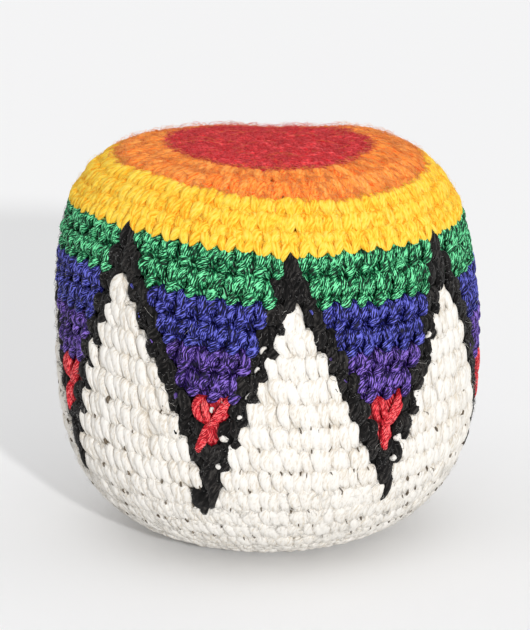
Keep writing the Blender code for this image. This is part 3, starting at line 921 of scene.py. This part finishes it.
# Each area's yarn, and the materials of what lies on it
AREA_YARNS = {
    "crimson_crown": ["crimson_yarn", "crimson_fuzz", "orange_fuzz"],
    "orange_band": ["orange_yarn", "orange_fuzz", "crimson_yarn"],
    "yellow_band": ["yellow_yarn", "yellow_fuzz", "orange_yarn"],
    "green_panel": ["green_yarn"],
    "blue_panel": ["blue_yarn"],
    "purple_panel": ["purple_yarn"],
    "heart": ["heart_red_yarn"],
    **{heart: ["heart_red_yarn", "natural_yarn"] for heart in DOTTED_HEARTS},
    "black_zigzag": ["black_yarn", "lint", "natural_yarn", "blue_yarn", "purple_yarn"],
    "white_base": ["natural_yarn", "natural_fuzz", "carried_yarn_and_gap_shade", "black_yarn"],
}


def add_object(name, data):
    thing = bpy.data.objects.new(name, data)
    bpy.context.scene.collection.objects.link(thing)
    return thing


def finish_piece(name, node, batches, yarns):
    """A piece of the scene that stands for a node; its first yarn is its material slot."""
    piece = add_object(name, make_mesh(name, batches, [YARNS[yarn] for yarn in yarns]))
    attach(piece, "root")
    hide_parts(node)
    return piece


def heart_batches(node, stitches, style):
    """A heart's strands, and the white gap that shows in some of them."""
    lower = max(stitches, key=lambda stitch: stitch[2])
    bend = STEM_BENDS.get(node, USUAL_BEND)
    stems = [[(u + bend * max(v, 0) ** 2 / 2, v, z) for u, v, z in stem] for stem in HEART_STEMS]
    batches = [strand_batch([lower], style, strand, HEART_WIDTH) for strand in (*HEART_STRANDS, *stems)]
    if node in DOTTED_HEARTS:
        batches.append(peep_batch("heart_gap", [lower]))
    return batches


def black_ends(runs, tops, style):
    """The black line's valleys, which end in long strands, and its thin points over the peaks."""
    loose = dict(style, **LOOSE_LOOK)
    last_start = BASE_START - (1 + ROUND_SLACK) * PATTERN_ROUND_HEIGHT
    lowest = [run[0] for run in runs if len(run) == 1 and run[0][2] > last_start]
    deepest = [stitch for stitch in lowest if stitch[2] > BASE_START - MM]
    long = [stitch for stitch in lowest if any(abs(stitch[0] - low[0]) < stitch[1] for low in deepest)]
    short = [stitch for stitch in lowest if stitch not in long]
    groups = (
        (short, VALLEY_TIP),
        (short, VALLEY_BODY),
        (long, WIDE_BODY),
        (deepest, DEEP_TIP),
        (tops, BLACK_TOP_LEFT),
        (tops, BLACK_TOP_RIGHT),
    )
    batches = [strand_batch(group, loose, **strand) for group, strand in groups]
    return batches + [strand_batch(tops, style, **TOP_TOOTH)]


def yellow_border(border, style):
    """The last yellow round: two legs to a stitch, and the points that reach over the green."""
    points = dict(style, **POINT_LOOK)
    batches = leg_batches(border, style)
    return batches + [strand_batch(border, points, **strand) for strand in (BORDER_RIGHT, BORDER_LEFT)]


def finish_cover(name, node, runs, yarns, extras):
    """The stitches of one area, its backing and what lies on it, as one piece."""
    style = BASE_WHITE if name == "white_base_stitches" else STYLES[yarns[0]]
    batches = [backing_batch(run, style["backing"]) for run in runs]
    stitches = [stitch for run in runs for stitch in run]
    special = []
    if yarns[0] == "heart_red_yarn":
        special = stitches
        batches += heart_batches(node, stitches, style)
    elif node == "black_zigzag":
        special = [run[0] for run in runs if run[0][2] < pattern_level(ROUND_SLACK)]
        batches += black_ends(runs, special, style)
    elif node == "yellow_band":
        special = runs[-1]
        batches += yellow_border(special, style)
    elif name == "white_peaks_stitches":
        special = [run[0] for run in runs if run[0][2] < pattern_level(2 + ROUND_SLACK)]
        batches += [strand_batch(special, style, **tip) for tip in (PEAK_TIP_LEFT, PEAK_TIP_RIGHT)]
    stitches = [stitch for stitch in stitches if stitch not in special]
    hidden = [stitch for stitch in stitches if node == "white_base" and stitch[2] >= HIDDEN_START]
    seen = [stitch for stitch in stitches if stitch not in hidden]
    for group, look in ((seen, style), (hidden, HIDDEN_WHITE)):
        if group:
            batches += stitch_batches(group, look)
    piece = finish_piece(name, node, batches + extras, yarns)


def make_cover():
    areas = cover_areas()
    extras = {
        "crimson_crown": [
            spread_fibres("crown_felt", 0, ORANGE_START + NARROW_EDGE),
            spread_fibres("crown_stray", 0, ORANGE_START + WIDE_EDGE),
            spread_fibres("crown_orange", 0, ORANGE_START),
        ],
        "orange_band": [
            spread_fibres("orange_felt", ORANGE_START - WIDE_EDGE, YELLOW_START + WIDE_EDGE),
            spread_fibres("orange_stray", ORANGE_START, YELLOW_START),
            peep_batch("under_orange", areas["orange_band"][0]),
        ],
        "yellow_band": [
            spread_fibres("yellow_felt", YELLOW_START - NARROW_EDGE, PATTERN_START),
            spread_fibres("yellow_stray", YELLOW_START, PATTERN_START),
            peep_batch("under_yellow", areas["yellow_band"][0]),
        ],
        "black_zigzag": black_details(areas["black_zigzag"]),
        "white_base": white_fuzz(areas["white_base"]),
    }
    for name, runs in areas.items():
        yarns = AREA_YARNS[name if name in AREA_YARNS else name.rsplit("_", 1)[0]]
        if name == "white_base":
            peaks = [run for run in runs if run[0][2] < BASE_START - MM]
            collar = [run for run in runs if run[0][2] >= BASE_START - MM]
            finish_cover("white_peaks_stitches", name, peaks, yarns, extras[name])
            finish_cover("white_base_stitches", name, collar, yarns[:1], [])
        else:
            finish_cover(f"{name}_stitches", name, runs, yarns, extras.get(name, []))


make_cover()


# Filling

# Pellets, in millimetres: the distance between them, how far they stay inside the cover, how unevenly
# they lie, and each one's length and radius
PELLET_SPACING = 3.6
PELLET_MARGIN = 4.2
PELLET_SPREAD = 0.15
PELLET_LENGTH = 3.0
PELLET_RADIUS = 1.75
PELLET_RINGS = 4
PELLET_SIDES = 8
PELLET_FULLNESS = 0.6
LAYER_SHARE = 0.8


def pellet_centres():
    """Places for the pellets, in staggered layers, wherever there is room inside the cover."""
    spacing, margin = PELLET_SPACING * MM, PELLET_MARGIN * MM
    reach = int(EQUATOR_RADIUS / spacing) + 2
    span = range(-reach, reach + 1)
    centres = []
    for layer, row, column in itertools.product(span, repeat=3):
        x = (column + 0.5 * (row % 2) + 0.5 * (layer % 2)) * spacing
        y = (row + (layer % 2) / 3) * spacing * math.sqrt(3) / 2
        centres.append((x, y, layer * spacing * LAYER_SHARE))
    centres = np.array(centres) + rng.normal(0, PELLET_SPREAD * MM, (len(centres), 3))
    x, y, z = centres.T
    radius = np.hypot(x, y) / (EQUATOR_RADIUS - margin)
    rise = np.where(z > 0, z / (CROWN_RISE - margin), -z / (BASE_DROP - margin))
    width_powers = np.where(z > 0, CROWN_WIDTH_POWER, BASE_WIDTH_POWER)
    height_powers = np.where(z > 0, CROWN_HEIGHT_POWER, BASE_HEIGHT_POWER)
    return centres[radius**width_powers + rise**height_powers < 1]


def make_pellets():
    centres = pellet_centres()
    centres[:, 2] += BASE_DROP - BASE_FLAT_DEPTH
    count = len(centres)
    heading = unit(rng.normal(0, 1, (count, 3)))
    up = unit(np.cross(heading, rng.normal(0, 1, (count, 3))))
    places = places_along(PELLET_RINGS)
    spines = centres[:, None] + heading[:, None] * ((places - 0.5) * PELLET_LENGTH * MM)[None, :, None]
    ups = np.broadcast_to(up[:, None], spines.shape)
    swell = np.sqrt(4 * places * (1 - places))[1:-1] ** PELLET_FULLNESS
    size = np.broadcast_to(swell * PELLET_RADIUS * MM, (count, PELLET_RINGS))
    batch = tubes(spines, ups, size, size, PELLET_SIDES, rng.uniform(-1, 1, count))
    finish_piece("pellets", "pellet_fill", [batch], ["plastic_pellets"])


make_pellets()


# Floor, light and camera

FLOOR_HALF = 3.0
FLOOR_COLOUR = (0.86, 0.86, 0.86)
SEEN_FLOOR_COLOUR = (0.856, 0.856, 0.861)
FLOOR_GLOW = 0.055
WORLD_STRENGTH = 0.57
KEY_STRENGTH = 1.9
KEY_ANGLE = math.radians(2.5)
KEY_ELEVATION = math.radians(17.5)
KEY_TURN = math.radians(18)
OVERHEAD_STRENGTH = 0.76
OVERHEAD_ANGLE = math.radians(80)

# The photograph's height, focal length and shift, in pixels, and the camera's own measures
PICTURE_HEIGHT = 630
FOCAL_PIXELS = 3415.6
SHIFT_PIXELS = (-2.4, 13.1)
SENSOR = 36.0
CAMERA_TILT = math.radians(16.42)
CAMERA_DISTANCE = 0.437
CLIP_START = 0.01


def make_stage():
    mesh = bpy.data.meshes.new("floor")
    corners = [(x * FLOOR_HALF, y * FLOOR_HALF, 0) for x, y in ((-1, -1), (1, -1), (1, 1), (-1, 1))]
    mesh.from_pydata(corners, [], [(0, 1, 2, 3)])
    floor = add_object("floor", mesh)
    material, nodes, links, shader = shade_nodes("pale_floor")
    rays = nodes.new("ShaderNodeLightPath")
    seen = math_node(nodes, links, "MAXIMUM", rays.outputs["Is Camera Ray"], rays.outputs["Is Glossy Ray"])
    colour = colour_ramp(nodes, links, seen, ((0.0, FLOOR_COLOUR), (1.0, SEEN_FLOOR_COLOUR)))
    links.new(colour, shader.inputs["Base Color"])
    shader.inputs["Roughness"].default_value = 1.0
    shader.inputs["Specular IOR Level"].default_value = 0.0
    glow = math_node(nodes, links, "MULTIPLY", seen, FLOOR_GLOW)
    shader.inputs["Emission Color"].default_value = (1, 1, 1, 1)
    links.new(glow, shader.inputs["Emission Strength"])
    mesh.materials.append(material)


def add_sun(name, strength, angle, rotation):
    lamp = bpy.data.lights.new(name, "SUN")
    lamp.energy = strength
    lamp.angle = angle
    add_object(name, lamp).rotation_euler = rotation


def make_light():
    world = bpy.data.worlds.new("studio")
    world.use_nodes = True
    inputs = world.node_tree.nodes["Background"].inputs
    inputs["Color"].default_value = (1.0, 1.0, 1.0, 1)
    inputs["Strength"].default_value = WORLD_STRENGTH
    bpy.context.scene.world = world
    add_sun("key", KEY_STRENGTH, KEY_ANGLE, (math.pi / 2 - KEY_ELEVATION, 0, KEY_TURN))
    add_sun("overhead", OVERHEAD_STRENGTH, OVERHEAD_ANGLE, (0, 0, 0))


def make_camera():
    aim_height = BASE_DROP - BASE_FLAT_DEPTH
    rise = CAMERA_DISTANCE * math.sin(CAMERA_TILT)
    lens = bpy.data.cameras.new("camera")
    lens.sensor_fit = "VERTICAL"
    lens.sensor_height = SENSOR
    lens.lens = FOCAL_PIXELS * SENSOR / PICTURE_HEIGHT
    lens.shift_x, lens.shift_y = (pixels / PICTURE_HEIGHT for pixels in SHIFT_PIXELS)
    lens.clip_start = CLIP_START
    camera = add_object("camera", lens)
    camera.location = (0, -CAMERA_DISTANCE * math.cos(CAMERA_TILT), aim_height + rise)
    camera.rotation_euler = (math.pi / 2 - CAMERA_TILT, 0, 0)
    bpy.context.scene.camera = camera


make_stage()
make_light()
make_camera()
bpy.context.scene.view_settings.view_transform = "Standard"
